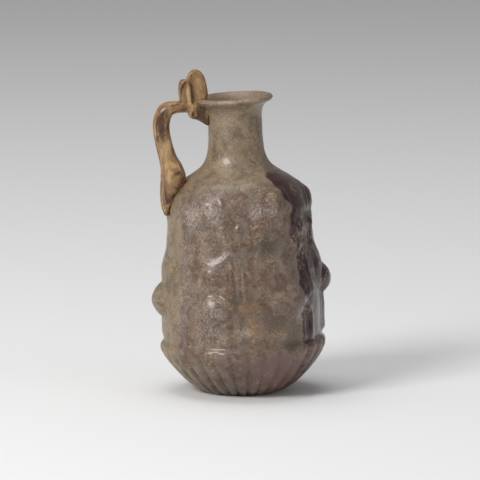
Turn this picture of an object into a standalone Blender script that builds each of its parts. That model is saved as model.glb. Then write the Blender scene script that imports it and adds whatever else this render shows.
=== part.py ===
"""A mould-blown glass jug of ancient make: a ribbed bowl, draped figures in worn relief, a plain
neck with a folded lip, and a handle trailed on while the glass was hot.

Metres, +Z up. The origin is where the axis of the vessel meets the table. The handle is at -X,
and azimuths run from -Y, the front, towards +X. The jug leans a little towards its handle.
"""

import math

import bmesh
import bpy
import numpy as np
from mathutils import Matrix, Vector

MM = 0.001


def mm(*points):
    """Points given in millimetres, as metres."""
    return [tuple(value * MM for value in point) for point in points]


# Driving dimensions
HEIGHT = 133.7 * MM  # to the top of the lip, before the lean
LIP_RADIUS = 17.5 * MM
NECK_RADIUS = 12.2 * MM
BODY_RADIUS = 35.2 * MM
LEDGE_RADIUS = 37.4 * MM
LEDGE_HEIGHT = 21.7 * MM
FOOT_RADIUS = 12.6 * MM
WALL = 1.7 * MM
FLOOR = 2.6 * MM  # glass gathers at the bottom of the bowl
CLEARANCE = 0.3 * MM  # between the handle and the vessel that carries it
LEAN = math.radians(2.15)  # the whole jug, towards the handle
LIP_TILT = math.radians(1.7)  # the lip, lower on the handle side
LIP_BEND = (HEIGHT - 11.7 * MM, HEIGHT - 3.7 * MM)  # heights between which the neck takes up that tilt

# The outside of the vessel from the underside to the lip, as (radius, height)
BOWL = [(0, -1.2 * MM), (FOOT_RADIUS, -0.8 * MM)]
BOWL += mm((19.3, 0.9), (26.0, 5.6), (32.1, 12.2), (36.4, 18.6)) + [(LEDGE_RADIUS, LEDGE_HEIGHT)]
LEDGE = [
    (LEDGE_RADIUS - 0.5 * MM, LEDGE_HEIGHT + 1.5 * MM),
    (BODY_RADIUS + 0.5 * MM, LEDGE_HEIGHT + 2.9 * MM),
]
BODY = [(BODY_RADIUS, 30 * MM), (BODY_RADIUS, 42 * MM)]
BODY += mm((34.0, 55), (32.2, 67), (31.4, 78), (31.0, 86), (29.3, 91))
SHOULDER = mm((25.4, 95.6), (19.8, 99.4), (15.8, 102.5))
NECK = mm((13.5, 106.4), (12.4, 113)) + [(NECK_RADIUS, 121 * MM), (NECK_RADIUS + 0.4 * MM, 127 * MM)]
LIP = [
    (LIP_RADIUS - 2.9 * MM, HEIGHT - 3.5 * MM),
    (LIP_RADIUS - 0.6 * MM, HEIGHT - 2.5 * MM),
    (LIP_RADIUS, HEIGHT - 1.4 * MM),
    (LIP_RADIUS - 0.6 * MM, HEIGHT - 0.4 * MM),
    (LIP_RADIUS - 1.9 * MM, HEIGHT),
]
MOUTH_INSIDE = [
    (NECK_RADIUS - 1.3 * MM, HEIGHT - 6.7 * MM),
    (NECK_RADIUS + 0.1 * MM, HEIGHT - 3.5 * MM),
    (LIP_RADIUS - 3.6 * MM, HEIGHT - 1.3 * MM),
    (LIP_RADIUS - 2.1 * MM, HEIGHT + 1.3 * MM),
]

# Ribs of the bowl
RIB_COUNT = 30
RIB_DEPTH = 1.0 * MM
RIB_TOP = LEDGE_HEIGHT + 1.2 * MM
RIB_ROUNDING = 1.8 * MM
RIB_FADE = (14 * MM, 21 * MM)  # radii between which the ribs rise out of the foot

# The figures: azimuth in degrees, then height, half width and relief of the knee, then depth of all else
FIGURES = [
    (-93, 43.2 * MM, 7.6 * MM, 5.6 * MM, 0.7),
    (-31, 41.5 * MM, 9.6 * MM, 4.0 * MM, 1.0),
    (29, 45.0 * MM, 9.2 * MM, 4.8 * MM, 1.0),
    (90, 49.4 * MM, 8.4 * MM, 6.4 * MM, 1.2),
    (150, 44.0 * MM, 8.6 * MM, 5.0 * MM, 0.9),
    (210, 47.0 * MM, 8.2 * MM, 5.2 * MM, 0.9),
]
FIGURE_RADIUS = 34 * MM  # turns an angle into a width on the wall
KNEE_HALF_HEIGHT = 7.9 * MM
HEAD = (-3.4 * MM, 86.8 * MM)
HAIR_RADIUS = 8.2 * MM
HAIR_WIDTH = 1.9 * MM
FIGURE_FOOT = (24 * MM, 28 * MM)
FIGURE_CROWN = (93 * MM, 98 * MM)
FOLD_COUNT = 3
INSIDE_SHARE = 0.74  # how far the inside of the wall follows the mould

# The handle in its own plane: (distance from the axis, height, thickness, width) along the strap
STRAP = mm(
    (32.8, 81.4, 1.6, 3.6), (32.7, 86, 4.6, 7.6), (31.2, 92.5, 8.0, 11.8), (29.2, 98.0, 11.2, 14.2),
    (29.6, 102.4, 10.0, 12.8), (31.0, 106.8, 8.2, 10.6), (32.3, 112, 7.5, 9.6), (33.4, 118, 7.4, 9.4),
    (33.4, 123.6, 7.4, 9.4), (31.2, 128.7, 6.8, 9.6), (27.4, 130.1, 5.6, 9.6), (23.4, 130.1, 5.2, 9.0),
    (17.5, 129.2, 4.6, 7.6),
)
STRAP_RIBS = 3
STRAP_GROOVE = 0.6 * MM
STRAP_INSIDE = (-0.95, -0.8, -0.45, 0, 0.45, 0.8, 0.95)  # shares of its half width
OBLONG_POWER = 2.8  # of the sections: 2 is an ellipse, and more is squarer
PLAIN_SIDES = 16

# The thumb-rest: the strap folded up and down again, its end rolled into a scroll, a pinched plate
# that stands on the lip, and a web of glass against the neck
FOLD = mm(
    (22.4, 128.4, 4.2, 8.6), (23.2, 133, 3.2, 8.0), (23.4, 137.6, 3.2, 7.4), (22.7, 140.8, 3.2, 6.8),
    (21.3, 139.4, 2.8, 6.8), (20.8, 134.5, 2.5, 7.2), (20.4, 129.6, 2.1, 7.4),
)
SCROLL_CENTRE = (18.9 * MM, 126.5 * MM)
SCROLL_RADIUS = 1.45 * MM
SCROLL_THREAD = 1.5 * MM
SCROLL_WIDTH = 7.4 * MM
SCROLL_FROM = math.radians(180)
SCROLL_TURN = math.radians(250)
SCROLL_STEPS = 7
THUMB_PLATE = mm(
    (12.2, 133.5), (12.4, 139.5), (13.2, 143.0), (15.2, 145.8), (17.4, 146.5), (19.6, 145.5), (21.2, 142.8),
    (21.7, 137), (21.0, 130), (15.0, 130.0),
)
THUMB_PLATE_THICKNESS = 3.4 * MM
THUMB_PLATE_ROUNDING = 1.1 * MM
NECK_WEB = mm(
    (11.6, 131.0), (11.4, 126), (12.0, 121.3), (15.8, 123.0), (19.0, 125.0), (20.6, 130.0), (16, 132.5)
)
NECK_WEB_THICKNESS = 5.0 * MM
NECK_WEB_ROUNDING = 1.4 * MM

# Fineness
VESSEL_STEPS = 180
CAVITY_STEPS = 40
VESSEL_TRIANGLES = 5800
THUMB_REST_TRIANGLES = 800
MELT_VOXEL = 0.4 * MM
MERGE = 0.01 * MM


def smoothstep(low, high, value):
    share = np.clip((value - low) / (high - low), 0, 1)
    return share * share * (3 - 2 * share)


def boss(across, up, centre, half_width, half_height, sharpness=1.0):
    """A rounded boss, 1 at its middle and 0 outside its elliptical edge."""
    off = ((across - centre[0]) / half_width) ** 2 + ((up - centre[1]) / half_height) ** 2
    return np.clip(1 - off, 0, None) ** sharpness


def ridge(across, up, route, half_width):
    """A soft ridge along a route of (across, up) points, 1 on the route."""
    nearest = np.full(len(up), np.inf)
    for start, end in zip(route, route[1:]):
        run, rise = end[0] - start[0], end[1] - start[1]
        east, north = across - start[0], up - start[1]
        share = np.clip((east * run + north * rise) / (run**2 + rise**2), 0, 1)
        nearest = np.minimum(nearest, np.hypot(east - share * run, north - share * rise))
    return np.exp(-((nearest / half_width) ** 2))


def hair_arc(across, up):
    """The roll of hair over the head, open below."""
    off = np.hypot(across - HEAD[0], up - HEAD[1] + 1.2 * MM) - HAIR_RADIUS
    return np.exp(-((off / HAIR_WIDTH) ** 2)) * smoothstep(HEAD[1] - 6.8 * MM, HEAD[1] - 1.8 * MM, up)


def soft_union(reliefs):
    """The highest of some reliefs, rounded where they meet."""
    return np.sum(np.power(reliefs, 3), axis=0) ** (1 / 3)


def figure_relief(across, up, knee_height, knee_half_width, knee_relief, depth):
    """A draped figure, worn soft: head, shoulders, arms, lap, the knee that juts out, shins and folds."""
    head = 2.2 * MM * boss(across, up, HEAD, 5.4 * MM, 6.4 * MM)
    hair = 1.3 * MM * hair_arc(across, up)
    shoulders = 1.3 * MM * ridge(across, up, mm((-11.5, 77), (-4, 80), (5.5, 77)), 3.6 * MM)
    chest = 1.1 * MM * boss(across, up, (-3 * MM, 70 * MM), 9.5 * MM, 13.5 * MM)
    hanging_arm = 1.2 * MM * ridge(across, up, mm((-11.5, 77), (-13, 66), (-10, 58)), 2.4 * MM)
    bent_arm = 1.4 * MM * ridge(across, up, mm((5.5, 77), (9.5, 68), (2.5, 62.5)), 2.3 * MM)
    held_thing = 1.2 * MM * boss(across, up, (12.6 * MM, 76.5 * MM), 2.6 * MM, 3.4 * MM)
    lap = 2.4 * MM * boss(across, up, (-3 * MM, 56.5 * MM), 11.5 * MM, 12.5 * MM)
    shin_route = [(-2 * MM, knee_height), (-4 * MM, 30 * MM), (-5 * MM, 24 * MM)]
    shin = 1.7 * MM * ridge(across, up, shin_route, 4.2 * MM)
    far_shin = 1.3 * MM * ridge(across, up, [(5 * MM, knee_height - 4 * MM), (7 * MM, 26 * MM)], 3.0 * MM)
    cloak_edge = 1.5 * MM * ridge(across, up, mm((-2, 58), (5, 50.5), (11.5, 37), (12.5, 25)), 2.0 * MM)
    folds = [
        0.8 * MM * ridge(across, up, mm((6.5 + n, 76), (8 + 2.6 * n, 62), (8.5 + 3.2 * n, 47)), 0.9 * MM)
        for n in range(FOLD_COUNT)
    ]
    body = [head, hair, shoulders, chest, hanging_arm, bent_arm, held_thing, lap, shin, far_shin, cloak_edge]
    knee = knee_relief * boss(across, up, (0, knee_height), knee_half_width, KNEE_HALF_HEIGHT, 0.75)
    return soft_union([soft_union(body + folds) * depth, knee])


def rib_relief(azimuth, radius, height):
    """Valleys cut between the convex ribs of the bowl, rounded off under the ledge."""
    valley = 1 - np.abs(np.cos(RIB_COUNT / 2 * azimuth))
    under_ledge = 1 - smoothstep(RIB_TOP - RIB_ROUNDING, RIB_TOP, height)
    return -RIB_DEPTH * valley**1.3 * under_ledge * smoothstep(*RIB_FADE, radius)


def mould_relief(points):
    """How far the mould raises or sinks the wall at each point of the turned form."""
    azimuth = np.arctan2(points[:, 0], -points[:, 1])
    radius = np.hypot(points[:, 0], points[:, 1])
    height = points[:, 2]
    raised = np.zeros(len(points))
    for degrees, *figure in FIGURES:
        turn = azimuth - math.radians(degrees)
        across = np.arctan2(np.sin(turn), np.cos(turn)) * FIGURE_RADIUS
        raised = np.maximum(raised, figure_relief(across, height, *figure))
    raised *= smoothstep(*FIGURE_FOOT, height) * (1 - smoothstep(*FIGURE_CROWN, height))
    return raised + rib_relief(azimuth, radius, height)


def new_object(name, data):
    made = bpy.data.objects.new(name, data)
    bpy.context.scene.collection.objects.link(made)
    return made


def as_mesh(obj):
    """Replaces an object by its evaluated mesh, with its place in the mesh."""
    graph = bpy.context.evaluated_depsgraph_get()
    graph.update()
    mesh = bpy.data.meshes.new_from_object(obj.evaluated_get(graph))
    mesh.transform(obj.matrix_world)
    name = obj.name
    bpy.data.objects.remove(obj)
    return new_object(name, mesh)


def close_up(obj):
    """Merges doubled points and turns every face outwards."""
    shape = bmesh.new()
    shape.from_mesh(obj.data)
    bmesh.ops.remove_doubles(shape, verts=shape.verts, dist=MERGE)
    bmesh.ops.recalc_face_normals(shape, faces=shape.faces)
    shape.to_mesh(obj.data)
    shape.free()


def profile_curve(name, outline, between, corners=()):
    """A smooth curve through (radius, height) points, with the numbered points left sharp."""
    curve = bpy.data.curves.new(name, "CURVE")
    curve.dimensions = "3D"
    curve.resolution_u = between
    spline = curve.splines.new("BEZIER")
    spline.bezier_points.add(len(outline) - 1)
    for number, (radius, height) in enumerate(outline):
        point = spline.bezier_points[number]
        point.co = (radius, 0, height)
        kind = "VECTOR" if number in corners else "AUTO"
        point.handle_left_type = point.handle_right_type = kind
    return new_object(name, curve)


def turned(name, outline, steps, between, corners=()):
    """The closed form that an outline sweeps round the axis, with some rings between its points."""
    made = as_mesh(profile_curve(name, outline, between, corners))
    screw = made.modifiers.new("Turn", "SCREW")
    screw.axis = "Z"
    screw.steps = screw.render_steps = steps
    screw.use_merge_vertices = True
    screw.merge_threshold = MERGE
    made = as_mesh(made)
    close_up(made)
    return made


def points_of(mesh):
    points = np.empty(len(mesh.vertices) * 3, np.float32)
    mesh.vertices.foreach_get("co", points)
    return points.reshape(-1, 3).astype(float)


def press_mould(obj, share):
    """Moves a turned form out or in by the mould's relief, along its own surface normals."""
    mesh = obj.data
    normals = np.empty(len(mesh.vertices) * 3, np.float32)
    mesh.vertex_normals.foreach_get("vector", normals)
    points = points_of(mesh)
    points += normals.reshape(-1, 3) * (mould_relief(points) * share)[:, None]
    mesh.vertices.foreach_set("co", points.astype(np.float32).ravel())


def settle(obj):
    """Tilts the lip and leans the whole towards the handle, as the jug stands."""
    points = points_of(obj.data)
    points[:, 2] += points[:, 0] * math.tan(LIP_TILT) * smoothstep(*LIP_BEND, points[:, 2])
    obj.data.vertices.foreach_set("co", points.astype(np.float32).ravel())
    obj.data.transform(Matrix.Rotation(-LEAN, 4, "Y"))


def thin_out(obj, triangles):
    """Keeps about this many triangles, most of them where the relief is."""
    obj.data.calc_loop_triangles()
    fewer = obj.modifiers.new("Fewer faces", "DECIMATE")
    fewer.ratio = min(1, triangles / len(obj.data.loop_triangles))
    return as_mesh(obj)


def stand_flat(obj):
    """Cuts off what lies below the table, which leaves the flat spot that the jug stands on."""
    shape = bmesh.new()
    shape.from_mesh(obj.data)
    everything = shape.verts[:] + shape.edges[:] + shape.faces[:]
    cut = bmesh.ops.bisect_plane(
        shape, geom=everything, dist=MERGE / 10, plane_co=(0, 0, 0), plane_no=(0, 0, 1), clear_inner=True
    )
    edge = [piece for piece in cut["geom_cut"] if isinstance(piece, bmesh.types.BMEdge)]
    bmesh.ops.holes_fill(shape, edges=edge)
    bmesh.ops.recalc_face_normals(shape, faces=shape.faces)
    shape.to_mesh(obj.data)
    shape.free()


def wall_thickness(height):
    """The glass is thickest at the bottom, and under the ribs it keeps its thickness in their valleys."""
    gathered = WALL + (FLOOR - WALL) * float(1 - smoothstep(2 * MM, 14 * MM, height))
    return gathered + (RIB_DEPTH / 2 if height < RIB_TOP else 0)


def inside_outline():
    """The cavity's outline: the outside moved in by the wall, then the flare of the mouth."""
    outside = BOWL + BODY + SHOULDER + NECK[:-1]
    moved = []
    for before, here, after in zip(outside, outside[1:], outside[2:]):
        run, rise = after[0] - before[0], after[1] - before[1]
        inwards = wall_thickness(here[1]) / math.hypot(run, rise)
        moved.append((here[0] - rise * inwards, here[1] + run * inwards))
    return [(0, moved[0][1])] + moved + MOUTH_INSIDE + [(0, MOUTH_INSIDE[-1][1])]


def make_vessel():
    outline = BOWL + LEDGE + BODY + SHOULDER + NECK + LIP
    vessel = turned("vessel", outline + [(0, HEIGHT)], VESSEL_STEPS, 5, corners=(len(outline),))
    press_mould(vessel, 1)
    settle(vessel)
    return thin_out(vessel, VESSEL_TRIANGLES)


def make_cavity():
    cavity = turned("cavity", inside_outline(), CAVITY_STEPS, 1)
    press_mould(cavity, INSIDE_SHARE)
    settle(cavity)
    return cavity


def space_round(obj):
    """A copy of the vessel, grown by the clearance, that cuts the handle's seat."""
    grown = new_object("space_round_" + obj.name, obj.data.copy())
    grow = grown.modifiers.new("Grow", "DISPLACE")
    grow.strength = CLEARANCE
    grow.mid_level = 0
    return as_mesh(grown)


def oblong(share):
    """Half thickness of a rounded oblong at a share of its half width, both out of 1."""
    return max(0, 1 - abs(share) ** OBLONG_POWER) ** (1 / OBLONG_POWER)


def strap_section(half_thickness, half_width):
    """Points round the strap, as (in the plane of the handle, across it): ribbed outside, plain inside."""
    steps = 4 * STRAP_RIBS
    ring = []
    for number in range(steps + 1):
        share = 1 - 2 * number / steps
        groove = STRAP_GROOVE * (1 - abs(math.cos(STRAP_RIBS * math.pi / 2 * share))) * oblong(share)
        ring.append((half_thickness * oblong(share) - groove, half_width * share))
    for share in STRAP_INSIDE:
        ring.append((-half_thickness * oblong(share), half_width * share))
    return ring


def plain_section(half_thickness, half_width):
    """Points round a rounded oblong, as (in the plane of the handle, across it)."""
    ring = []
    for number in range(PLAIN_SIDES):
        share = math.cos(math.tau * number / PLAIN_SIDES)
        side = -1 if number > PLAIN_SIDES / 2 else 1
        ring.append((side * half_thickness * oblong(share), half_width * share))
    return ring


def smooth_stations(stations, between):
    """Catmull-Rom values between the stations of a trail."""
    values = np.array(stations, float)
    padded = np.vstack([2 * values[0] - values[1], values, 2 * values[-1] - values[-2]])
    made = []
    for number in range(1, len(padded) - 2):
        a, b, c, d = padded[number - 1 : number + 3]
        for step in range(between):
            t = step / between
            cubic = 2 * b + (c - a) * t + (2 * a - 5 * b + 4 * c - d) * t**2 + (3 * b - a - 3 * c + d) * t**3
            made.append(cubic / 2)
    return made + [values[-1]]


def trail(name, stations, between, section):
    """A strap drawn through (distance from the axis, height, thickness, width) stations."""
    rings = smooth_stations(stations, between)
    shape = bmesh.new()
    loops = []
    for number, (out, height, thickness, width) in enumerate(rings):
        before, after = rings[max(number - 1, 0)], rings[min(number + 1, len(rings) - 1)]
        along = Vector((before[0] - after[0], 0, after[1] - before[1])).normalized()
        side = along.cross(Vector((0, 1, 0)))
        centre = Vector((-out, 0, height))
        loops.append([
            shape.verts.new(centre + side * across + Vector((0, wide, 0)))
            for across, wide in section(thickness / 2, width / 2)
        ])
    for first, second in zip(loops, loops[1:]):
        for number in range(len(first)):
            following = (number + 1) % len(first)
            shape.faces.new((first[number], first[following], second[following], second[number]))
    shape.faces.new(loops[0])
    shape.faces.new(loops[-1])
    bmesh.ops.recalc_face_normals(shape, faces=shape.faces)
    mesh = bpy.data.meshes.new(name)
    shape.to_mesh(mesh)
    shape.free()
    return new_object(name, mesh)


def scroll_stations():
    """The strap's end below the fold, rolled back on itself."""
    stations = []
    for number in range(SCROLL_STEPS + 1):
        angle = SCROLL_FROM + SCROLL_TURN * number / SCROLL_STEPS
        out = SCROLL_CENTRE[0] - SCROLL_RADIUS * math.cos(angle)
        height = SCROLL_CENTRE[1] + SCROLL_RADIUS * math.sin(angle)
        stations.append((out, height, SCROLL_THREAD, SCROLL_WIDTH))
    return stations


def plate(name, outline, thickness, rounding):
    """A flat piece of pinched glass in the plane of the handle, with rounded edges."""
    curve = bpy.data.curves.new(name, "CURVE")
    curve.dimensions = "2D"
    curve.fill_mode = "BOTH"
    curve.resolution_u = 3
    curve.extrude = thickness / 2 - rounding
    curve.bevel_depth = rounding
    curve.bevel_resolution = 1
    curve.offset = -rounding
    spline = curve.splines.new("BEZIER")
    spline.bezier_points.add(len(outline) - 1)
    for point, (out, height) in zip(spline.bezier_points, outline):
        point.co = (-out, height, 0)
        point.handle_left_type = point.handle_right_type = "AUTO"
    spline.use_cyclic_u = True
    made = new_object(name, curve)
    made.rotation_euler = (math.pi / 2, 0, 0)
    bpy.context.view_layer.update()
    made = as_mesh(made)
    close_up(made)
    return made


def melt_together(name, pieces, triangles):
    """One solid from overlapping pieces, softened where they run into each other."""
    shape = bmesh.new()
    for piece in pieces:
        shape.from_mesh(piece.data)
        bpy.data.objects.remove(piece)
    mesh = bpy.data.meshes.new(name)
    shape.to_mesh(mesh)
    shape.free()
    made = new_object(name, mesh)
    melt = made.modifiers.new("Melt", "REMESH")
    melt.mode = "VOXEL"
    melt.voxel_size = MELT_VOXEL
    soften = made.modifiers.new("Soften", "SMOOTH")
    soften.factor = 0.5
    soften.iterations = 2
    return thin_out(as_mesh(made), triangles)


def boolean(obj, operation, other):
    made = obj.modifiers.new(operation.title(), "BOOLEAN")
    made.operation = operation
    made.solver = "EXACT"
    made.object = other


def make_handle():
    fold = trail("fold", FOLD + scroll_stations(), 3, plain_section)
    thumb_plate = plate("thumb_plate", THUMB_PLATE, THUMB_PLATE_THICKNESS, THUMB_PLATE_ROUNDING)
    web = plate("neck_web", NECK_WEB, NECK_WEB_THICKNESS, NECK_WEB_ROUNDING)
    thumb_rest = melt_together("thumb_rest", [fold, thumb_plate, web], THUMB_REST_TRIANGLES)
    handle = trail("handle", STRAP, 2, strap_section)
    boolean(handle, "UNION", thumb_rest)
    handle = as_mesh(handle)
    bpy.data.objects.remove(thumb_rest)
    handle.data.transform(Matrix.Rotation(-LEAN, 4, "Y"))
    return handle


def finish_with(obj, name, colour, roughness):
    material = bpy.data.materials.new(name)
    material.use_nodes = True
    shader = material.node_tree.nodes["Principled BSDF"]
    shader.inputs["Base Color"].default_value = (*colour, 1)
    shader.inputs["Roughness"].default_value = roughness
    shader.inputs["Metallic"].default_value = 0
    shader.inputs["IOR"].default_value = 1.5
    shader.inputs["Transmission Weight"].default_value = 0.35
    obj.data.materials.clear()
    obj.data.materials.append(material)
    obj.data.shade_smooth()
    obj.data.set_sharp_from_angle(angle=math.radians(50))


def gather(objects, collection):
    bpy.context.scene.collection.children.link(collection)
    for obj in objects:
        for other in obj.users_collection:
            other.objects.unlink(obj)
        collection.objects.link(obj)


def build():
    for obj in list(bpy.data.objects):
        bpy.data.objects.remove(obj)

    vessel = make_vessel()
    seat = space_round(vessel)
    stand_flat(vessel)
    cavity = make_cavity()
    boolean(vessel, "DIFFERENCE", cavity)
    handle = make_handle()
    boolean(handle, "DIFFERENCE", seat)

    finish_with(vessel, "mould_blown_glass", (0.33, 0.22, 0.15), 0.42)
    finish_with(handle, "trailed_glass", (0.42, 0.27, 0.14), 0.28)
    gather([vessel, handle], bpy.data.collections.new("glass_jug"))
    gather([cavity, seat], bpy.data.collections.new("cutters"))
    for cutter in (cavity, seat):
        cutter.hide_render = True
        cutter.display_type = "WIRE"


build()
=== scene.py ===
import math

import bmesh
import bpy
import numpy as np
from mathutils import Matrix, Vector, noise


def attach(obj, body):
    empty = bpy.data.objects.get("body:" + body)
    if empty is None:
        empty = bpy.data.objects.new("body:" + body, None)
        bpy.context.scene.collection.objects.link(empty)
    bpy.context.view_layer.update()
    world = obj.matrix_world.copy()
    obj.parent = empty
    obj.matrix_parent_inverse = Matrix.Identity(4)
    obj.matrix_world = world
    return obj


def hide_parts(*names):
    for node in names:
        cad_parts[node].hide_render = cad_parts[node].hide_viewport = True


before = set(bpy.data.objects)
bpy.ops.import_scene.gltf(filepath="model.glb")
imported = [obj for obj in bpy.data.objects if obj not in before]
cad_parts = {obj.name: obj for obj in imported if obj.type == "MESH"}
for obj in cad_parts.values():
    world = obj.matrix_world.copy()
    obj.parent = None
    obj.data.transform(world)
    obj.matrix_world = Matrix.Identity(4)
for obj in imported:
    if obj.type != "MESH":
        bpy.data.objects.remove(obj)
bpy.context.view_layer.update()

# The vessel: one bubble of thin purple glass, blown into a mould that gave it the ribs and the draped
# figures, then worked free of the mould above the shoulder into a plain neck with a folded lip. It
# leans a little towards its handle and stands on a small flat spot under the bowl.
MM = 0.001
HEIGHT = 133.7 * MM
LIP_RADIUS = 17.5 * MM
NECK_RADIUS = 12.2 * MM
BODY_RADIUS = 35.2 * MM
LEDGE_RADIUS = 37.4 * MM
LEDGE_HEIGHT = 21.7 * MM
FOOT_RADIUS = 12.6 * MM
WALL = 1.7 * MM
FLOOR = 2.6 * MM
LEAN = math.radians(2.15)
LIP_TILT = math.radians(1.7)
LIP_BEND = (HEIGHT - 11.7 * MM, HEIGHT - 3.7 * MM)
COLUMNS = 360
RELIEF_ROW = 0.67 * MM
PLAIN_ROW = 1.3 * MM
INSIDE_ROW = 2.4 * MM
CURVE_STEPS = 24
MERGE = 0.001 * MM
SEAM_MERGE = 0.02 * MM  # where the inside meets the lip
SMOOTH_ANGLE = math.radians(60)


def mm(*points):
    """Points given in millimetres, as metres."""
    return [tuple(value * MM for value in point) for point in points]


BOWL = [(0, -1.2 * MM), (FOOT_RADIUS, -0.8 * MM)]
BOWL += mm((19.3, 0.9), (26.0, 5.6), (32.1, 12.2), (36.4, 18.6)) + [(LEDGE_RADIUS, LEDGE_HEIGHT)]
LEDGE = [
    (LEDGE_RADIUS - 0.5 * MM, LEDGE_HEIGHT + 1.5 * MM),
    (BODY_RADIUS + 0.5 * MM, LEDGE_HEIGHT + 2.9 * MM),
]
BODY = [(BODY_RADIUS, 30 * MM), (BODY_RADIUS, 42 * MM)]
BODY += mm((34.0, 55), (32.2, 67), (31.4, 78), (31.0, 86), (29.3, 91))
SHOULDER = mm((25.4, 95.6), (19.8, 99.4), (15.8, 102.5))
NECK = mm((13.5, 106.4), (12.4, 113)) + [(NECK_RADIUS, 121 * MM), (NECK_RADIUS + 0.4 * MM, 127 * MM)]
LIP = [
    (LIP_RADIUS - 2.9 * MM, HEIGHT - 3.5 * MM),
    (LIP_RADIUS - 0.6 * MM, HEIGHT - 2.5 * MM),
    (LIP_RADIUS, HEIGHT - 1.4 * MM),
    (LIP_RADIUS - 0.6 * MM, HEIGHT - 0.4 * MM),
    (LIP_RADIUS - 1.9 * MM, HEIGHT),
]
MOUTH_INSIDE = [
    (LIP_RADIUS - 3.3 * MM, HEIGHT - 1.0 * MM),
    (NECK_RADIUS + 0.1 * MM, HEIGHT - 3.5 * MM),
    (NECK_RADIUS - 1.3 * MM, HEIGHT - 6.7 * MM),
]


def alone(obj):
    """Selects this object and nothing else."""
    bpy.ops.object.select_all(action="DESELECT")
    obj.select_set(True)
    bpy.context.view_layer.objects.active = obj


def places(obj):
    """The object's points, as rows of numbers."""
    flat = np.empty(len(obj.data.vertices) * 3, np.float32)
    obj.data.vertices.foreach_get("co", flat)
    return flat.reshape(-1, 3).astype(float)


def put(obj, points):
    obj.data.vertices.foreach_set("co", points.astype(np.float32).ravel())
    obj.data.update()


def smoothstep(low, high, value):
    share = np.clip((value - low) / (high - low), 0, 1)
    return share * share * (3 - 2 * share)


def lumps(points, size, shift):
    """Smooth random values from -1 to 1 at each point, with lumps of about this size."""
    moved = points / size + shift
    return np.array([noise.noise(place) for place in moved.tolist()])


def row_gap(height):
    """Rings lie close together where the mould's relief is, and wider apart on the plain neck."""
    return RELIEF_ROW if height < 99 * MM else PLAIN_ROW


def spun(name, outline, gap):
    """The surface that a smooth outline of (radius, height) points sweeps round the axis."""
    bpy.ops.object.select_all(action="DESELECT")
    bpy.ops.curve.primitive_bezier_curve_add(location=(0, 0, 0))
    made = bpy.context.object
    made.name = name
    made.data.resolution_u = CURVE_STEPS
    line = made.data.splines[0]
    line.bezier_points.add(len(outline) - len(line.bezier_points))
    for point, (radius, height) in zip(line.bezier_points, outline):
        point.co = (radius, 0, height)
        point.handle_left_type = point.handle_right_type = "AUTO"
    bpy.ops.object.convert(target="MESH")
    fine = places(made)
    along = np.concatenate([[0], np.cumsum(np.linalg.norm(np.diff(fine, axis=0), axis=1))])
    stops = [0.0]
    while stops[-1] < along[-1]:
        stops.append(stops[-1] + gap(np.interp(stops[-1], along, fine[:, 2])))
    stops = np.array(stops) * along[-1] / stops[-1]
    points = np.stack([np.interp(stops, along, fine[:, axis]) for axis in range(3)], axis=1)
    made.data.clear_geometry()
    made.data.from_pydata(points, [(n, n + 1) for n in range(len(points) - 1)], [])
    bpy.ops.object.mode_set(mode="EDIT")
    bpy.ops.mesh.select_all(action="SELECT")
    bpy.ops.mesh.spin(steps=COLUMNS, angle=math.tau, center=(0, 0, 0), axis=(0, 0, 1))
    bpy.ops.mesh.select_all(action="SELECT")
    bpy.ops.mesh.remove_doubles(threshold=MERGE)
    bpy.ops.object.mode_set(mode="OBJECT")
    return made


# The mould's relief: thirty ribs round the bowl, and above the ledge six draped figures, worn so soft
# that little more than knees, laps, shoulders and falling folds can be made out.
RIB_COUNT = 30
RIB_DEPTH = 1.0 * MM
RIB_TOP = LEDGE_HEIGHT + 1.9 * MM
RIB_ROUNDING = 1.6 * MM
RIB_FADE = (14 * MM, 21 * MM)
FIGURES = [
    (-93, 43.2 * MM, 7.6 * MM, 5.6 * MM, 0.7),
    (-31, 41.5 * MM, 9.6 * MM, 4.0 * MM, 1.0),
    (29, 45.0 * MM, 9.2 * MM, 4.8 * MM, 1.0),
    (90, 49.4 * MM, 8.4 * MM, 6.4 * MM, 1.2),
    (150, 44.0 * MM, 8.6 * MM, 5.0 * MM, 0.9),
    (210, 47.0 * MM, 8.2 * MM, 5.2 * MM, 0.9),
]
FIGURE_RADIUS = 34 * MM
KNEE_HALF_HEIGHT = 7.9 * MM
HEAD = (-3.4 * MM, 86.8 * MM)
HAIR_RADIUS = 8.2 * MM
HAIR_WIDTH = 1.9 * MM
FIGURE_FOOT = (24 * MM, 28 * MM)
FIGURE_CROWN = (93 * MM, 98 * MM)
FOLD_COUNT = 3
INSIDE_SHARE = 0.74
WEAR = 1.5 * MM  # how far worn edges wander
WEAR_SIZE = 9 * MM
WEAR_SHIFTS = (3.3, 17.1)  # places in the noise, sideways and up
IN_MOULD = (94 * MM, 102 * MM)  # heights between which the mould's surface ends
SLOW_WAVES = (0.10 * MM, 11 * MM, 41.0)  # how high, how wide, and where in the noise
WEATHERED_LUMPS = ((0.16 * MM, 5.5 * MM, 5.7), (0.09 * MM, 2.6 * MM, 23.0), (0.04 * MM, 1.5 * MM, 8.0))


def boss(across, up, centre, half_width, half_height, sharpness=1.0):
    """A rounded boss, 1 at its middle and 0 outside its elliptical edge."""
    off = ((across - centre[0]) / half_width) ** 2 + ((up - centre[1]) / half_height) ** 2
    return np.clip(1 - off, 0, None) ** sharpness


def ridge(across, up, route, half_width):
    """A soft ridge along a route of (across, up) points, 1 on the route."""
    nearest = np.full(len(up), np.inf)
    for start, end in zip(route, route[1:]):
        run, rise = end[0] - start[0], end[1] - start[1]
        east, north = across - start[0], up - start[1]
        share = np.clip((east * run + north * rise) / (run**2 + rise**2), 0, 1)
        nearest = np.minimum(nearest, np.hypot(east - share * run, north - share * rise))
    return np.exp(-((nearest / half_width) ** 2))


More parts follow.
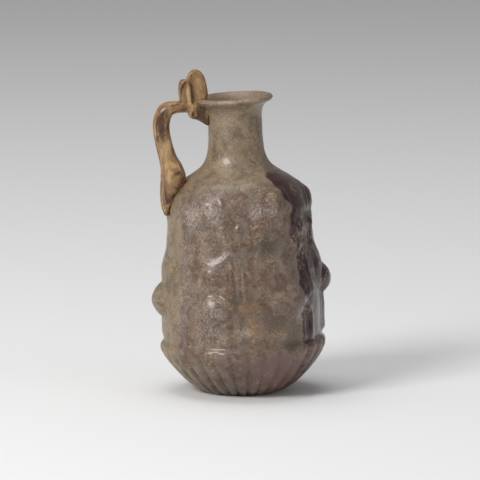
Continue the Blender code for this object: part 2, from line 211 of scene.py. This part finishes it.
def hair_arc(across, up):
    """The roll of hair over the head, open below."""
    off = np.hypot(across - HEAD[0], up - HEAD[1] + 1.2 * MM) - HAIR_RADIUS
    return np.exp(-((off / HAIR_WIDTH) ** 2)) * smoothstep(HEAD[1] - 6.8 * MM, HEAD[1] - 1.8 * MM, up)


def soft_union(reliefs):
    """The highest of some reliefs, rounded where they meet."""
    return np.sum(np.power(reliefs, 3), axis=0) ** (1 / 3)


def figure_relief(across, up, knee_height, knee_half_width, knee_relief, depth):
    """A draped figure, worn soft: head, shoulders, arms, lap, the knee that juts out, shins and folds."""
    head = 2.0 * MM * boss(across, up, HEAD, 6.6 * MM, 7.0 * MM)
    hair = 0.5 * MM * hair_arc(across, up)
    shoulders = 1.3 * MM * ridge(across, up, mm((-11.5, 77), (-4, 80), (5.5, 77)), 3.6 * MM)
    chest = 1.1 * MM * boss(across, up, (-3 * MM, 70 * MM), 9.5 * MM, 13.5 * MM)
    hanging_arm = 1.2 * MM * ridge(across, up, mm((-11.5, 77), (-13, 66), (-10, 58)), 2.4 * MM)
    bent_arm = 1.4 * MM * ridge(across, up, mm((5.5, 77), (9.5, 68), (2.5, 62.5)), 2.3 * MM)
    held_thing = 1.2 * MM * boss(across, up, (12.6 * MM, 76.5 * MM), 2.6 * MM, 3.4 * MM)
    lap = 2.4 * MM * boss(across, up, (-3 * MM, 56.5 * MM), 11.5 * MM, 12.5 * MM)
    shin_route = [(-2 * MM, knee_height), (-4 * MM, 30 * MM), (-5 * MM, 24 * MM)]
    shin = 1.7 * MM * ridge(across, up, shin_route, 4.2 * MM)
    far_shin = 1.3 * MM * ridge(across, up, [(5 * MM, knee_height - 4 * MM), (7 * MM, 26 * MM)], 3.0 * MM)
    cloak_edge = 1.5 * MM * ridge(across, up, mm((-2, 58), (5, 50.5), (11.5, 37), (12.5, 25)), 2.0 * MM)
    folds = [
        0.8 * MM * ridge(across, up, mm((6.5 + n, 76), (8 + 2.6 * n, 62), (8.5 + 3.2 * n, 47)), 0.9 * MM)
        for n in range(FOLD_COUNT)
    ]
    folds += [
        0.5 * MM * ridge(across, up, mm((-9 + 4 * n, 47), (-8.5 + 4.4 * n, 36), (-9 + 5 * n, 26)), 0.8 * MM)
        for n in range(FOLD_COUNT)
    ]
    body = [head, hair, shoulders, chest, hanging_arm, bent_arm, held_thing, lap, shin, far_shin, cloak_edge]
    knee = knee_relief * boss(across, up, (0, knee_height), knee_half_width, KNEE_HALF_HEIGHT, 0.75)
    return soft_union([soft_union(body + folds) * depth, knee])


def rib_relief(azimuth, radius, height):
    """Valleys between the convex ribs of the bowl, rounded off under the ledge."""
    valley = 1 - np.abs(np.cos(RIB_COUNT / 2 * azimuth))
    under_ledge = 1 - smoothstep(RIB_TOP - RIB_ROUNDING, RIB_TOP, height)
    return -RIB_DEPTH * valley**1.3 * under_ledge * smoothstep(*RIB_FADE, radius)


def mould_relief(points):
    """How far the mould raises or sinks the wall at each point of the spun form."""
    azimuth = np.arctan2(points[:, 0], -points[:, 1])
    radius = np.hypot(points[:, 0], points[:, 1])
    height = points[:, 2]
    wander, drift = (WEAR * lumps(points, WEAR_SIZE, shift) for shift in WEAR_SHIFTS)
    raised = np.zeros(len(points))
    for degrees, *figure in FIGURES:
        turn = azimuth - math.radians(degrees)
        across = np.arctan2(np.sin(turn), np.cos(turn)) * FIGURE_RADIUS
        raised = np.maximum(raised, figure_relief(across + wander, height + drift, *figure))
    raised *= smoothstep(*FIGURE_FOOT, height) * (1 - smoothstep(*FIGURE_CROWN, height))
    return raised + rib_relief(azimuth, radius, height)


def outward_normals(obj, points):
    """The surface's normal at each point, turned away from the axis."""
    flat = np.empty(len(points) * 3, np.float32)
    obj.data.vertex_normals.foreach_get("vector", flat)
    normals = flat.reshape(-1, 3).astype(float)
    return normals * np.sign((normals[:, :2] * points[:, :2]).sum(axis=1))[:, None]


def press_mould(obj, share):
    """Moves a spun form out or in by the mould's relief, square to its surface."""
    points = places(obj)
    put(obj, points + outward_normals(obj, points) * (mould_relief(points) * share)[:, None])


def settle(obj):
    """Tilts the lip and leans the whole towards the handle, as the jug stands."""
    points = places(obj)
    points[:, 2] += points[:, 0] * math.tan(LIP_TILT) * smoothstep(*LIP_BEND, points[:, 2])
    put(obj, points)
    obj.data.transform(Matrix.Rotation(-LEAN, 4, "Y"))


def wall_thickness(height):
    """The glass is thickest at the bottom, and under the ribs it keeps its thickness in their valleys."""
    gathered = WALL + (FLOOR - WALL) * float(1 - smoothstep(2 * MM, 14 * MM, height))
    return gathered + (RIB_DEPTH / 2 if height < RIB_TOP else 0)


def inside_of(outside):
    """An outline moved in by the wall's thickness, from the lowest point up."""
    moved = []
    for before, here, after in zip(outside, outside[1:], outside[2:]):
        run, rise = after[0] - before[0], after[1] - before[1]
        inwards = wall_thickness(here[1]) / math.hypot(run, rise)
        moved.append((here[0] - rise * inwards, here[1] + run * inwards))
    return [(0, moved[0][1])] + moved


def roughen(obj):
    """The unevenness of hand-blown glass: slow waves, and small lumps where the surface has weathered."""
    points = places(obj)
    in_mould = 1 - smoothstep(*IN_MOULD, points[:, 2])
    how_high, how_wide, shift = SLOW_WAVES
    uneven = how_high * lumps(points, how_wide, shift)
    for how_high, how_wide, shift in WEATHERED_LUMPS:
        uneven += how_high * in_mould * lumps(points, how_wide, shift)
    put(obj, points + outward_normals(obj, points) * uneven[:, None])


# Where each finish lies, as (azimuth in degrees, height, half width in degrees, half height, strength).
# The silver patches are partly silvery flakes of weathering and partly painted highlights: glints on a knee,
# a lap and a valley between figures, the lit facets of heads and shoulders, and a pale stripe of painted
# highlight down the left side.
SILVER_FLAKE_AND_GLINT_PATCHES = [
    (-50, 83 * MM, 13, 7 * MM, 0.75), (-31, 86 * MM, 9, 6 * MM, 0.8), (6, 85 * MM, 8, 4 * MM, 0.8),
    (18, 85 * MM, 9, 4 * MM, 0.45), (-58, 55 * MM, 7, 38 * MM, 0.45), (-7.5, 31.9 * MM, 5, 2.6 * MM, 0.9),
    (36, 37.5 * MM, 5, 4.5 * MM, 0.9), (-36, 38 * MM, 17, 17 * MM, 0.5), (-28, 66 * MM, 22, 18 * MM, 0.35),
]
SOIL_PATCHES = [
    (-49, 35 * MM, 4.5, 9 * MM, 0.7), (-5, 42.5 * MM, 9, 4.5 * MM, 0.8), (0, 32 * MM, 8, 9 * MM, 0.6),
    (4, 21 * MM, 16, 3.5 * MM, 0.6), (25, 30 * MM, 9, 5 * MM, 0.5), (16, 78 * MM, 9, 5 * MM, 0.45),
    (-90, 96 * MM, 28, 12 * MM, 0.8), (170, 60 * MM, 16, 14 * MM, 0.6), (130, 34 * MM, 12, 9 * MM, 0.5),
]
DIM_PATCHES = [
    (10, 70 * MM, 14, 7 * MM, 0.7), (-14, 46 * MM, 9, 5 * MM, 0.6), (15, 36 * MM, 9, 9 * MM, 0.6),
    (28, 24 * MM, 10, 6 * MM, 0.6), (160, 80 * MM, 18, 9 * MM, 0.6), (-150, 45 * MM, 16, 12 * MM, 0.5),
]


# Azimuths in degrees and heights between which the bare glass, the tan film and the ribs' colour change.
BARE_STARTS = 37
BARE_ENDS = (112, 128)
TAN_AT_LEFT = (-52, -72)
TAN_BEHIND = (150, 175)
TAN_ABOVE = (91 * MM, 99 * MM)
RIBBED_BELOW = (19 * MM, 24 * MM)
RIBBED_RIGHT_OF = (-55, 25)


def paint(obj, name, strength):
    """Keeps a strength from 0 to 1 at each point, for the material to read."""
    made = obj.data.attributes.new(name, "FLOAT", "POINT")
    made.data.foreach_set("value", strength.astype(np.float32))


def patches(degrees, height, places_of_it):
    """Soft-edged patches on the wall."""
    made = np.zeros(len(height))
    for middle, up, half_width, half_height, strength in places_of_it:
        turn = (degrees - middle + 180) % 360 - 180
        off = (turn / half_width) ** 2 + ((height - up) / half_height) ** 2
        made = np.maximum(made, strength * np.exp(-off * 0.8))
    return made


def paint_finishes(obj, inner):
    """Marks where the film is thin, silvery or painted with highlights and glints, tan, dim or soiled,
    before the jug is leaned.
    """
    points = places(obj)
    degrees = np.degrees(np.arctan2(points[:, 0], -points[:, 1]))
    height = points[:, 2]
    edge = 5 * lumps(points, 9 * MM, 11.0) + 3 * lumps(points, 3.5 * MM, 29.0)
    on_body = smoothstep(23 * MM, 27 * MM, height) * (1 - smoothstep(96 * MM, 101 * MM, height))
    on_neck = smoothstep(98 * MM, 106 * MM, height)
    starts = BARE_STARTS - 10 * smoothstep(84 * MM, 96 * MM, height) + 18 * on_neck
    turned_right = smoothstep(starts - 4 - 14 * on_neck, starts + 5 + 22 * on_neck, degrees + edge)
    bare = turned_right * (1 - smoothstep(*BARE_ENDS, degrees + edge))
    bare *= 0.55 + 0.45 * on_body
    left = smoothstep(*TAN_AT_LEFT, degrees + edge) + smoothstep(*TAN_BEHIND, degrees + edge)
    above = smoothstep(*TAN_ABOVE, height + edge * 0.3 * MM)
    paint(obj, "bare", bare)
    paint(obj, "tan", np.clip(left + above, 0, 1))
    # Silvery flakes together with painted highlights and glints.
    paint(obj, "silver_and_glint", patches(degrees, height, SILVER_FLAKE_AND_GLINT_PATCHES))
    paint(obj, "soil", patches(degrees, height, SOIL_PATCHES))
    paint(obj, "dim", patches(degrees, height, DIM_PATCHES))
    below = 1 - smoothstep(*RIBBED_BELOW, height)
    paint(obj, "ribbed", below * smoothstep(*RIBBED_RIGHT_OF, degrees + edge))
    paint(obj, "inner", np.full(len(height), float(inner)))


outside = spun("vessel_glass", BOWL + LEDGE + BODY + SHOULDER + NECK + LIP, row_gap)
cavity_line = inside_of(BOWL + BODY + SHOULDER + NECK[:-1]) + MOUTH_INSIDE[::-1] + [LIP[-1]]
inside = spun("inside", cavity_line, lambda height: INSIDE_ROW)
paint_finishes(outside, False)
paint_finishes(inside, True)
press_mould(outside, 1)
press_mould(inside, INSIDE_SHARE)
roughen(outside)

alone(outside)
inside.select_set(True)
bpy.ops.object.join()
vessel = outside
bpy.ops.object.mode_set(mode="EDIT")
bpy.ops.mesh.select_all(action="SELECT")
bpy.ops.mesh.remove_doubles(threshold=SEAM_MERGE)
bpy.ops.mesh.normals_make_consistent(inside=False)
bpy.ops.object.mode_set(mode="OBJECT")
settle(vessel)
alone(vessel)
bpy.ops.object.mode_set(mode="EDIT")
bpy.ops.mesh.select_all(action="SELECT")
bpy.ops.mesh.bisect(plane_co=(0, 0, 0), plane_no=(0, 0, 1), use_fill=True, clear_inner=True, threshold=MERGE)
bpy.ops.object.mode_set(mode="OBJECT")
bpy.ops.object.shade_smooth_by_angle(angle=SMOOTH_ANGLE)


# The finish of the vessel: wine-purple glass that shows bare and glossy at the right, and elsewhere
# under a thin tan film, with silvery flakes and painted highlights and glints, fine pits and scratches,
# and patches of orange soil.
def blank_material(name):
    """A new material, its nodes and links, and its shader."""
    material = bpy.data.materials.new(name)
    material.use_nodes = True
    nodes = material.node_tree.nodes
    shader = nodes["Principled BSDF"]
    return material, nodes, material.node_tree.links, shader


def cloud(nodes, links, vector, scale, detail=4.0, rough=0.55, distortion=0.0):
    made = nodes.new("ShaderNodeTexNoise")
    made.inputs["Scale"].default_value = scale
    made.inputs["Detail"].default_value = detail
    made.inputs["Roughness"].default_value = rough
    made.inputs["Distortion"].default_value = distortion
    links.new(vector, made.inputs["Vector"])
    return made.outputs["Fac"]


def between(nodes, links, value, low, high, to_low=0.0, to_high=1.0):
    """A value mapped smoothly from one range to another."""
    made = nodes.new("ShaderNodeMapRange")
    made.interpolation_type = "SMOOTHSTEP"
    made.inputs["From Min"].default_value = low
    made.inputs["From Max"].default_value = high
    made.inputs["To Min"].default_value = to_low
    made.inputs["To Max"].default_value = to_high
    links.new(value, made.inputs["Value"])
    return made.outputs["Result"]


def maths(nodes, links, operation, first, second):
    made = nodes.new("ShaderNodeMath")
    made.operation = operation
    for socket, value in zip(made.inputs, (first, second)):
        if isinstance(value, (int, float)):
            socket.default_value = value
        else:
            links.new(value, socket)
    return made.outputs["Value"]


def mixed(nodes, links, share, first, second):
    """One colour laid over another by a share; each is a plain colour or a socket."""
    made = nodes.new("ShaderNodeMix")
    made.data_type = "RGBA"
    links.new(share, made.inputs["Factor"])
    for socket, value in ((made.inputs[6], first), (made.inputs[7], second)):
        if isinstance(value, tuple):
            socket.default_value = (*value, 1)
        else:
            links.new(value, socket)
    return made.outputs[2]


def object_place(nodes):
    """Object coordinates."""
    return nodes.new("ShaderNodeTexCoord").outputs["Object"]


def bumped(nodes, links, height, distance, strength=1.0, below=None):
    made = nodes.new("ShaderNodeBump")
    made.inputs["Distance"].default_value = distance
    made.inputs["Strength"].default_value = strength
    links.new(height, made.inputs["Height"])
    if below is not None:
        links.new(below, made.inputs["Normal"])
    return made.outputs["Normal"]


def painted(nodes, name):
    made = nodes.new("ShaderNodeAttribute")
    made.attribute_name = name
    return made.outputs["Fac"]


def fine_lines(nodes, links, vector, scale, half_width, distortion):
    """Thin wandering lines, where a cloud passes its middle value."""
    middle = maths(nodes, links, "SUBTRACT", cloud(nodes, links, vector, scale, 3, 0.5, distortion), 0.5)
    return between(nodes, links, maths(nodes, links, "ABSOLUTE", middle, 0.0), half_width, 0.0)


WINE = (0.050, 0.006, 0.005)
WINE_RIB = (0.235, 0.135, 0.115)
TAN_FILM = (0.36, 0.26, 0.165)
OLIVE_FILM = (0.20, 0.15, 0.09)
GREY_FILM = (0.27, 0.205, 0.155)
BROWN_FILM = (0.165, 0.088, 0.052)
# The silver colour serves both silvery flakes and painted highlights.
SILVER_FLAKE_AND_GLINT = (0.58, 0.50, 0.455)
DIM_FILM = (0.10, 0.075, 0.045)
SOIL = (0.31, 0.15, 0.05)
SCRATCH = (0.60, 0.42, 0.25)
INNER_FILM = (0.30, 0.20, 0.13)
GLASS_INDEX = 1.5
GLASS_CLEARNESS = 0.35
GLOSS_COAT = 0.35
GLOSS_COAT_ROUGHNESS = 0.16


def mould_blown_glass():
    material, nodes, links, shader = blank_material("mould_blown_glass")
    place = object_place(nodes)
    slow = cloud(nodes, links, place, 60, 4, 0.6, 0.4)
    blotch = cloud(nodes, links, place, 190, 6, 0.7, 0.8)
    grain = cloud(nodes, links, place, 1100, 4, 0.7)
    speck = cloud(nodes, links, place, 2600, 2, 0.6)
    scratches = maths(
        nodes, links, "MULTIPLY",
        fine_lines(nodes, links, place, 210, 0.030, 3.4),
        between(nodes, links, cloud(nodes, links, place, 110, 2), 0.50, 0.60),
    )
    tan_film = mixed(nodes, links, between(nodes, links, blotch, 0.36, 0.56), OLIVE_FILM, TAN_FILM)

    def broken_up(name, low, high, by, amount):
        """A painted mark whose edge follows a cloud."""
        shifted = maths(nodes, links, "MULTIPLY", maths(nodes, links, "SUBTRACT", by, 0.5), amount)
        return between(nodes, links, maths(nodes, links, "ADD", painted(nodes, name), shifted), low, high)

    film = mixed(nodes, links, between(nodes, links, blotch, 0.38, 0.62), BROWN_FILM, GREY_FILM)
    film = mixed(nodes, links, broken_up("tan", 0.3, 0.8, slow, 0.9), film, tan_film)
    film = mixed(nodes, links, broken_up("dim", 0.2, 0.9, blotch, 1.6), film, DIM_FILM)
    # Silvery flakes, and painted highlights and glints on heads, shoulders, knees and laps.
    film = mixed(nodes, links, broken_up("silver_and_glint", 0.25, 1.25, grain, 1.9), film, SILVER_FLAKE_AND_GLINT)
    film = mixed(nodes, links, broken_up("soil", 0.35, 1.15, blotch, 3.0), film, SOIL)
    film = mixed(nodes, links, broken_up("ribbed", 0.3, 0.9, slow, 1.2), film, WINE_RIB)
    bare = broken_up("bare", 0.35, 0.75, blotch, 0.9)
    colour = mixed(nodes, links, bare, film, WINE)
    colour = mixed(nodes, links, scratches, colour, SCRATCH)
    colour = mixed(nodes, links, painted(nodes, "inner"), colour, INNER_FILM)
    shade = nodes.new("ShaderNodeHueSaturation")
    links.new(colour, shade.inputs["Color"])
    links.new(between(nodes, links, grain, 0.3, 0.7, 0.72, 1.3), shade.inputs["Value"])
    links.new(shade.outputs["Color"], shader.inputs["Base Color"])
    film_roughness = between(nodes, links, grain, 0.35, 0.65, 0.34, 0.6)
    smoother = maths(nodes, links, "MULTIPLY", bare, 0.32)
    links.new(maths(nodes, links, "SUBTRACT", film_roughness, smoother), shader.inputs["Roughness"])
    shader.inputs["IOR"].default_value = GLASS_INDEX
    shader.inputs["Transmission Weight"].default_value = GLASS_CLEARNESS
    shader.inputs["Coat Weight"].default_value = GLOSS_COAT
    shader.inputs["Coat Roughness"].default_value = GLOSS_COAT_ROUGHNESS
    cover = maths(nodes, links, "SUBTRACT", 1.0, bare)
    pits = bumped(nodes, links, maths(nodes, links, "MULTIPLY", speck, cover), 0.06 * MM, 0.6)
    pits = bumped(nodes, links, maths(nodes, links, "MULTIPLY", grain, cover), 0.16 * MM, 0.7, pits)
    links.new(bumped(nodes, links, blotch, 0.35 * MM, 0.5, pits), shader.inputs["Normal"])
    return material


vessel.data.materials.clear()
vessel.data.materials.append(mould_blown_glass())
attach(vessel, "root")
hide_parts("vessel")


# The handle: a ribbed strap of hot amber glass, dropped on the shoulder, drawn up and bent in to the
# lip, then folded up and down into a thumb-rest, its end rolled into a scroll. A pinched plate of it
# stands on the lip, and a web of it runs down the neck.
STRAP = mm(
    (32.8, 81.4, 1.6, 3.6), (32.7, 86, 4.6, 7.6), (31.2, 92.5, 8.0, 11.8), (29.2, 98.0, 11.2, 14.2),
    (29.6, 102.4, 10.0, 12.8), (31.0, 106.8, 8.2, 10.6), (32.3, 112, 7.5, 9.6), (33.4, 118, 7.4, 9.4),
    (33.4, 123.6, 7.4, 9.4), (31.2, 128.7, 6.8, 9.6), (27.4, 130.1, 5.6, 9.6), (23.4, 130.1, 5.2, 9.0),
    (17.5, 129.2, 4.6, 7.6),
)
STRAP_RIBS = 3
STRAP_GROOVE = 0.6 * MM
STRAP_STEPS = 8  # rings from one station to the next
OBLONG_POWER = 2.8
SIDES = 48
FOLD = mm(
    (22.4, 128.4, 4.2, 8.6), (23.2, 133, 3.2, 8.0), (23.4, 137.6, 3.2, 7.4), (22.7, 140.8, 3.2, 6.8),
    (21.3, 139.4, 2.8, 6.8), (20.8, 134.5, 2.5, 7.2), (20.4, 129.6, 2.1, 7.4),
)
SCROLL_CENTRE = (18.9 * MM, 126.5 * MM)
SCROLL_RADIUS = 1.45 * MM
SCROLL_THREAD = 1.5 * MM
SCROLL_WIDTH = 7.4 * MM
SCROLL_FROM = math.radians(180)
SCROLL_TURN = math.radians(250)
SCROLL_STEPS = 7
THUMB_PLATE = mm(
    (12.2, 133.5), (12.4, 139.5), (13.2, 143.0), (15.2, 145.8), (17.4, 146.5), (19.6, 145.5), (21.2, 142.8),
    (21.7, 137), (21.0, 130), (15.0, 130.0),
)
THUMB_PLATE_THICKNESS = 3.4 * MM
THUMB_PLATE_ROUNDING = 1.1 * MM
NECK_WEB = mm(
    (11.6, 131.0), (11.4, 126), (12.0, 121.3), (15.8, 123.0), (19.0, 125.0), (20.6, 130.0), (16, 132.5)
)
NECK_WEB_THICKNESS = 5.0 * MM
NECK_WEB_ROUNDING = 1.4 * MM
MELT_VOXEL = 0.26 * MM
MELT_SOFTENING = 3
PLATE_MERGE = 0.01 * MM


def oblong(share):
    """Half thickness of a rounded oblong at a share of its half width, both out of 1."""
    return max(0, 1 - abs(share) ** OBLONG_POWER) ** (1 / OBLONG_POWER)


def section_round(half_thickness, half_width, groove_depth):
    """Points round a strap, as (in the plane of the handle, across it), with ribs on its outer face."""
    ring = []
    for number in range(SIDES):
        angle = math.tau * number / SIDES
        share = math.cos(angle)
        outer = angle < math.pi
        groove = groove_depth * (1 - abs(math.cos(STRAP_RIBS * math.pi / 2 * share))) * oblong(share)
        depth = half_thickness * oblong(share) - groove if outer else -half_thickness * oblong(share)
        ring.append((depth, half_width * share))
    return ring


def smooth_stations(stations, steps):
    """Catmull-Rom values between the stations of a trail."""
    values = np.array(stations, float)
    padded = np.vstack([2 * values[0] - values[1], values, 2 * values[-1] - values[-2]])
    made = []
    for number in range(1, len(padded) - 2):
        a, b, c, d = padded[number - 1 : number + 3]
        for step in range(steps):
            t = step / steps
            cubic = 2 * b + (c - a) * t + (2 * a - 5 * b + 4 * c - d) * t**2 + (3 * b - a - 3 * c + d) * t**3
            made.append(cubic / 2)
    return made + [values[-1]]


def trail(name, stations, groove_depth):
    """A strap drawn through (distance from the axis, height, thickness, width) stations."""
    rings = smooth_stations(stations, STRAP_STEPS)
    shape = bmesh.new()
    loops = []
    for number, (out, height, thickness, width) in enumerate(rings):
        before, after = rings[max(number - 1, 0)], rings[min(number + 1, len(rings) - 1)]
        along = Vector((before[0] - after[0], 0, after[1] - before[1])).normalized()
        side = along.cross(Vector((0, 1, 0)))
        centre = Vector((-out, 0, height))
        loops.append([
            shape.verts.new(centre + side * depth + Vector((0, wide, 0)))
            for depth, wide in section_round(thickness / 2, width / 2, groove_depth)
        ])
    for first, second in zip(loops, loops[1:]):
        for number in range(SIDES):
            following = (number + 1) % SIDES
            shape.faces.new((first[number], first[following], second[following], second[number]))
    shape.faces.new(loops[0])
    shape.faces.new(loops[-1])
    bmesh.ops.recalc_face_normals(shape, faces=shape.faces)
    mesh = bpy.data.meshes.new(name)
    shape.to_mesh(mesh)
    shape.free()
    made = bpy.data.objects.new(name, mesh)
    bpy.context.scene.collection.objects.link(made)
    return made


def scroll_stations():
    """The strap's end below the fold, rolled back on itself."""
    stations = []
    for number in range(SCROLL_STEPS + 1):
        angle = SCROLL_FROM + SCROLL_TURN * number / SCROLL_STEPS
        out = SCROLL_CENTRE[0] - SCROLL_RADIUS * math.cos(angle)
        height = SCROLL_CENTRE[1] + SCROLL_RADIUS * math.sin(angle)
        stations.append((out, height, SCROLL_THREAD, SCROLL_WIDTH))
    return stations


def pinched_plate(name, outline, thickness, rounding):
    """A flat piece of pinched glass in the plane of the handle, with rounded edges."""
    bpy.ops.object.select_all(action="DESELECT")
    bpy.ops.curve.primitive_bezier_circle_add(location=(0, 0, 0))
    made = bpy.context.object
    made.name = name
    data = made.data
    data.dimensions = "2D"
    data.fill_mode = "BOTH"
    data.resolution_u = 8
    data.extrude = thickness / 2 - rounding
    data.bevel_depth = rounding
    data.bevel_resolution = 3
    data.offset = -rounding
    line = data.splines[0]
    line.bezier_points.add(len(outline) - len(line.bezier_points))
    for point, (out, height) in zip(line.bezier_points, outline):
        point.co = (-out, height, 0)
        point.handle_left_type = point.handle_right_type = "AUTO"
    bpy.ops.object.convert(target="MESH")
    made.data.transform(Matrix.Rotation(math.pi / 2, 4, "X"))
    bpy.ops.object.mode_set(mode="EDIT")
    bpy.ops.mesh.select_all(action="SELECT")
    bpy.ops.mesh.remove_doubles(threshold=PLATE_MERGE)
    bpy.ops.mesh.normals_make_consistent(inside=False)
    bpy.ops.object.mode_set(mode="OBJECT")
    return made


handle = trail("handle_glass", STRAP, STRAP_GROOVE)
fold = trail("fold", FOLD + scroll_stations(), 0)
thumb_plate = pinched_plate("thumb_plate", THUMB_PLATE, THUMB_PLATE_THICKNESS, THUMB_PLATE_ROUNDING)
neck_web = pinched_plate("neck_web", NECK_WEB, NECK_WEB_THICKNESS, NECK_WEB_ROUNDING)
alone(handle)
for other in (fold, thumb_plate, neck_web):
    other.select_set(True)
bpy.ops.object.join()
melt = handle.modifiers.new("Melt", "REMESH")
melt.mode = "VOXEL"
melt.voxel_size = MELT_VOXEL
bpy.ops.object.modifier_apply(modifier=melt.name)
soften = handle.modifiers.new("Soften", "SMOOTH")
soften.factor = 0.5
soften.iterations = MELT_SOFTENING
bpy.ops.object.modifier_apply(modifier=soften.name)
handle.data.transform(Matrix.Rotation(-LEAN, 4, "Y"))

# The handle runs into the vessel's wall, where it fused, and not through it.
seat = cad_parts["vessel"].copy()
seat.data = seat.data.copy()
seat.name = "seat"
seat.parent = None
seat.hide_viewport = False
bpy.context.scene.collection.objects.link(seat)
alone(seat)
bpy.ops.object.mode_set(mode="EDIT")
bpy.ops.mesh.select_all(action="SELECT")
bpy.ops.mesh.remove_doubles(threshold=MERGE)
bpy.ops.object.mode_set(mode="OBJECT")
alone(handle)
trim = handle.modifiers.new("Trim", "BOOLEAN")
trim.operation = "DIFFERENCE"
trim.solver = "EXACT"
trim.object = seat
bpy.ops.object.modifier_apply(modifier=trim.name)
bpy.data.objects.remove(seat)
alone(handle)
bpy.ops.object.shade_smooth_by_angle(angle=SMOOTH_ANGLE)

# The finish of the handle: amber glass with light and dark streaks, drawn out along the strap as the
# hot trail was pulled.
AMBER = (0.36, 0.20, 0.085)
AMBER_LIGHT = (0.62, 0.42, 0.20)
AMBER_DARK = (0.10, 0.045, 0.022)


def trailed_glass():
    material, nodes, links, shader = blank_material("trailed_glass")
    place = object_place(nodes)
    stretched = nodes.new("ShaderNodeMapping")
    stretched.inputs["Scale"].default_value = (1, 3.0, 0.35)
    links.new(place, stretched.inputs["Vector"])
    streaks = cloud(nodes, links, stretched.outputs["Vector"], 220, 4, 0.6, 0.6)
    clouds = cloud(nodes, links, place, 140, 4, 0.6)
    colour = mixed(nodes, links, between(nodes, links, streaks, 0.36, 0.52), AMBER_DARK, AMBER)
    colour = mixed(nodes, links, between(nodes, links, streaks, 0.52, 0.66), colour, AMBER_LIGHT)
    links.new(colour, shader.inputs["Base Color"])
    links.new(between(nodes, links, clouds, 0.3, 0.7, 0.12, 0.35), shader.inputs["Roughness"])
    shader.inputs["IOR"].default_value = GLASS_INDEX
    shader.inputs["Transmission Weight"].default_value = GLASS_CLEARNESS
    links.new(bumped(nodes, links, streaks, 0.25 * MM, 0.4), shader.inputs["Normal"])
    return material


handle.data.materials.clear()
handle.data.materials.append(trailed_glass())
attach(handle, "root")
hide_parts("handle")

# The stage: a wide pale floor, a large soft light at the upper left, weaker ones above and at the
# right, and the camera where the photographer stood.
FLOOR_SIZE = 24
PAPER = (0.80, 0.80, 0.80)
ROOM_GREY = (0.8, 0.8, 0.8)
ROOM_STRENGTH = 0.35
bpy.ops.object.select_all(action="DESELECT")
bpy.ops.mesh.primitive_plane_add(size=FLOOR_SIZE, location=(0, 0, 0))
ground = bpy.context.object
ground.name = "pale_floor"
paper, _, _, paper_shader = blank_material("pale_paper")
paper_shader.inputs["Base Color"].default_value = (*PAPER, 1)
paper_shader.inputs["Roughness"].default_value = 0.9
ground.data.materials.append(paper)

CAMERA_AZIMUTH = math.radians(-10)
CAMERA_ELEVATION = math.radians(8.3)
CAMERA_DISTANCE = 2.2
FRAME_WIDTH = 0.216  # across the picture, at the jug
SENSOR = 36.0
to_right = Vector((math.cos(CAMERA_AZIMUTH), math.sin(CAMERA_AZIMUTH), 0))
to_camera = Vector((
    math.sin(CAMERA_AZIMUTH) * math.cos(CAMERA_ELEVATION),
    -math.cos(CAMERA_AZIMUTH) * math.cos(CAMERA_ELEVATION),
    math.sin(CAMERA_ELEVATION),
))
looked_at = to_right * -2.25 * MM + Vector((0, 0, 68.15 * MM))
bpy.ops.object.camera_add(location=looked_at + to_camera * CAMERA_DISTANCE)
camera = bpy.context.object
camera.rotation_euler = to_camera.to_track_quat("Z", "Y").to_euler()
camera.data.sensor_width = SENSOR
camera.data.lens = SENSOR * CAMERA_DISTANCE / FRAME_WIDTH
camera.data.clip_start = 0.05
camera.data.clip_end = 20
bpy.context.scene.camera = camera


def soft_light(name, place, size, power):
    """A square soft light that faces the jug."""
    bpy.ops.object.light_add(type="AREA", location=place)
    lamp = bpy.context.object
    lamp.name = name
    lamp.data.size = size
    lamp.data.energy = power
    lamp.rotation_euler = (Vector(place) - looked_at).to_track_quat("Z", "Y").to_euler()


soft_light("key", (-1.0, -0.75, 0.95), 0.55, 16)
soft_light("fill", (1.3, -1.2, 0.7), 0.9, 3)
soft_light("top", (-0.2, 0.2, 1.7), 1.2, 12)
world = bpy.data.worlds.new("room")
bpy.context.scene.world = world
world.use_nodes = True
world.node_tree.nodes["Background"].inputs["Color"].default_value = (*ROOM_GREY, 1)
world.node_tree.nodes["Background"].inputs["Strength"].default_value = ROOM_STRENGTH
bpy.context.scene.view_settings.view_transform = "Standard"
